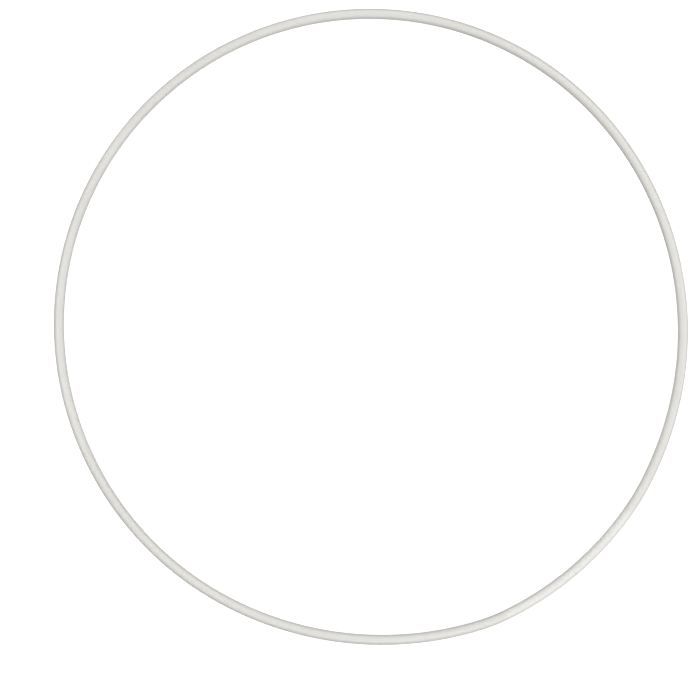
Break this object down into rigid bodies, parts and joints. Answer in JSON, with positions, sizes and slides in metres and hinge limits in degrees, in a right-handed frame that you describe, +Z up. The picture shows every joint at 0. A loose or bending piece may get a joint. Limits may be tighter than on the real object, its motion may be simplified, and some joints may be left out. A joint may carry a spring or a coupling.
{
  "type": "rhythmic gymnastics hoop",
  "caption": "Plain white rhythmic gymnastics hoop: a thin round plastic tube bent into a ring, its butted ends held on a hidden inner rod by staples.",
  "frame": {"origin": "middle of the ring's overall width and length, at mid-height of the tube, so in the empty middle of the hoop", "axes": "the ring lies in the XY plane and +Z is up, square to the ring, as the hoop lies flat on a floor; the seam is on the +X -Y side, in the outward direction 310.3 degrees anticlockwise from +X"},
  "size_m": [0.8972, 0.9, 0.0144],
  "materials": {
    "tube_plastic": "satin",
    "plug_plastic": "matte",
    "staple_steel": "satin"
  },
  "bodies": {
    "root": {"hoop_tube": "tube_plastic", "joint_plug": "plug_plastic", "staple_left": "staple_steel", "staple_right": "staple_steel"}
  },
  "joints": []
}
